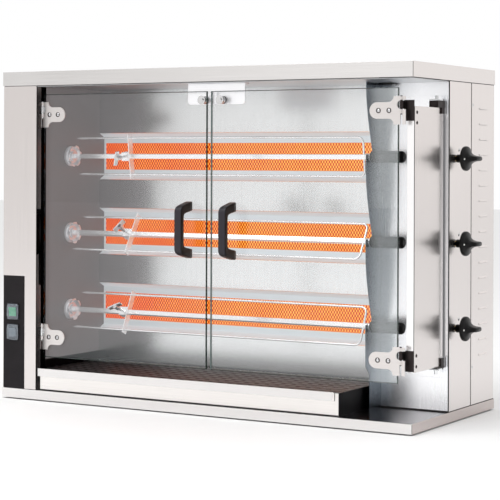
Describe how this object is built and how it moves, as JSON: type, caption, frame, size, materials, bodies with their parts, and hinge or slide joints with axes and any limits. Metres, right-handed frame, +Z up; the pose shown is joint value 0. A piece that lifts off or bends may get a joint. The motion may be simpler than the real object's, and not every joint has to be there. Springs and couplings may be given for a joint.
{
  "type": "rotisserie oven",
  "caption": "Counter-top gas rotisserie with horizontal spits, radiant burners, hinged glass doors, gas knobs and a drip tray.",
  "frame": {"origin": "centre of the body's footprint, on the surface it stands on", "axes": "+X to the right (valve) side, +Y to the back, +Z up; the glass doors face -Y"},
  "size_m": [1.133, 0.4875, 0.78],
  "materials": {
    "shell_steel": "satin stainless sheet",
    "mirror_steel": "polished stainless sheet",
    "chamber_steel": "bright-rolled stainless sheet",
    "bright_metal": "polished",
    "dark_steel": "oiled dark steel",
    "grate_steel": "black enamel",
    "motor_paint": "satin grey",
    "brass": "machined",
    "radiant_ceramic": "glowing orange-red, perforated",
    "door_glass": "clear tempered",
    "black_plastic": "semi-gloss",
    "label_black": "satin black",
    "green_plastic": "translucent",
    "smoke_plastic": "translucent",
    "feet_rubber": "matt"
  },
  "bodies": {
    "body": {"base_tray": "shell_steel", "rubber_feet": "feet_rubber", "top_cover": "shell_steel", "left_front_panel": "shell_steel", "left_side_panel": "shell_steel", "rear_panel": "shell_steel", "chamber_left_wall": "chamber_steel", "chamber_back_wall": "chamber_steel", "chamber_ceiling": "chamber_steel", "spit_support_plate": "chamber_steel", "housing_front_wall": "mirror_steel", "side_valve_panel": "shell_steel", "side_louvre_panel": "shell_steel", "label_plate": "label_black", "switch_bodies": "black_plastic", "burner_housings": "chamber_steel", "radiant_plates": "radiant_ceramic", "gas_manifold": "bright_metal", "gas_valves": "brass", "left_hinge_brackets": "chamber_steel", "arm_brackets": "mirror_steel", "catch_plate": "mirror_steel", "door_magnets": "dark_steel", "drive_chain": "dark_steel", "gearmotor": "motor_paint", "cable_gland": "black_plastic", "body_screws": "bright_metal", "socket_bearings": "dark_steel"},
    "left_door": {"left_glass": "door_glass", "left_handle": "black_plastic", "left_hinge_plates": "shell_steel", "left_door_screws": "bright_metal"},
    "right_door": {"right_glass": "door_glass", "right_handle": "black_plastic", "right_hinge_plates": "shell_steel", "right_door_screws": "bright_metal"},
    "door_arm": {"carrier_arm": "shell_steel", "arm_hinge_fittings": "dark_steel"},
    "tray": {"drip_tray": "shell_steel", "drip_grate": "grate_steel"},
    "motor_switch": {"motor_rocker": "green_plastic"},
    "lamp_switch": {"lamp_rocker": "smoke_plastic"},
    "bottom_knob": {"bottom_knob": "black_plastic"},
    "bottom_spit": {"bottom_spit": "bright_metal", "bottom_spit_handle": "black_plastic", "bottom_drive_socket": "chamber_steel"},
    "bottom_lock": {"bottom_locking_plate": "bright_metal"},
    "bottom_wing": {"bottom_wing_screw": "bright_metal"},
    "middle_knob": {"middle_knob": "black_plastic"},
    "middle_spit": {"middle_spit": "bright_metal", "middle_spit_handle": "black_plastic", "middle_drive_socket": "chamber_steel"},
    "middle_lock": {"middle_locking_plate": "bright_metal"},
    "middle_wing": {"middle_wing_screw": "bright_metal"},
    "top_knob": {"top_knob": "black_plastic"},
    "top_spit": {"top_spit": "bright_metal", "top_spit_handle": "black_plastic", "top_drive_socket": "chamber_steel"},
    "top_lock": {"top_locking_plate": "bright_metal"},
    "top_wing": {"top_wing_screw": "bright_metal"}
  },
  "joints": [
    {"name": "left_door_hinge", "type": "hinge", "parent": "body", "child": "left_door", "pos_m": [-0.438, -0.201, 0.414], "axis": [0, 0, -1], "range_deg": [0, 90]},
    {"name": "arm_hinge", "type": "hinge", "parent": "body", "child": "door_arm", "pos_m": [0.5185, -0.054, 0.414], "axis": [0, 0, 1], "range_deg": [0, 100]},
    {"name": "right_door_hinge", "type": "hinge", "parent": "door_arm", "child": "right_door", "pos_m": [0.504, -0.201, 0.414], "axis": [0, 0, 1], "range_deg": [0, 175]},
    {"name": "tray_slide", "type": "slide", "parent": "body", "child": "tray", "axis": [0, -1, 0], "range_m": [0, 0.24]},
    {"name": "motor_switch_rock", "type": "hinge", "parent": "body", "child": "motor_switch", "pos_m": [-0.508, -0.2183, 0.209], "axis": [-1, 0, 0], "range_deg": [0, 16]},
    {"name": "lamp_switch_rock", "type": "hinge", "parent": "body", "child": "lamp_switch", "pos_m": [-0.508, -0.2183, 0.16], "axis": [-1, 0, 0], "range_deg": [0, 16]},
    {"name": "bottom_knob_turn", "type": "hinge", "parent": "body", "child": "bottom_knob", "pos_m": [0.54, 0.006, 0.205], "axis": [1, 0, 0], "range_deg": [0, 180]},
    {"name": "bottom_spit_spin", "type": "hinge", "parent": "body", "child": "bottom_spit", "pos_m": [0, -0.088, 0.208], "axis": [1, 0, 0], "continuous": true},
    {"name": "bottom_lock_slide", "type": "slide", "parent": "bottom_spit", "child": "bottom_lock", "axis": [1, 0, 0], "range_m": [-0.1, 0.58]},
    {"name": "bottom_wing_turn", "type": "hinge", "parent": "bottom_lock", "child": "bottom_wing", "pos_m": [-0.278, -0.088, 0.208], "axis": [0, -0.9171, 0.3987], "range_deg": [-180, 180]},
    {"name": "middle_knob_turn", "type": "hinge", "parent": "body", "child": "middle_knob", "pos_m": [0.54, 0.006, 0.391], "axis": [1, 0, 0], "range_deg": [0, 180]},
    {"name": "middle_spit_spin", "type": "hinge", "parent": "body", "child": "middle_spit", "pos_m": [0, -0.088, 0.394], "axis": [1, 0, 0], "continuous": true},
    {"name": "middle_lock_slide", "type": "slide", "parent": "middle_spit", "child": "middle_lock", "axis": [1, 0, 0], "range_m": [-0.1, 0.58]},
    {"name": "middle_wing_turn", "type": "hinge", "parent": "middle_lock", "child": "middle_wing", "pos_m": [-0.268, -0.088, 0.394], "axis": [0, -0.866, 0.5], "range_deg": [-180, 180]},
    {"name": "top_knob_turn", "type": "hinge", "parent": "body", "child": "top_knob", "pos_m": [0.54, 0.006, 0.577], "axis": [1, 0, 0], "range_deg": [0, 180]},
    {"name": "top_spit_spin", "type": "hinge", "parent": "body", "child": "top_spit", "pos_m": [0, -0.088, 0.58], "axis": [1, 0, 0], "continuous": true},
    {"name": "top_lock_slide", "type": "slide", "parent": "top_spit", "child": "top_lock", "axis": [1, 0, 0], "range_m": [-0.1, 0.58]},
    {"name": "top_wing_turn", "type": "hinge", "parent": "top_lock", "child": "top_wing", "pos_m": [-0.273, -0.088, 0.58], "axis": [0, -0.9914, -0.1305], "range_deg": [-180, 180]}
  ],
  "couplings": [
    {"joint": "bottom_spit_spin", "follows": "middle_spit_spin", "ratio": 1},
    {"joint": "top_spit_spin", "follows": "middle_spit_spin", "ratio": 1}
  ]
}
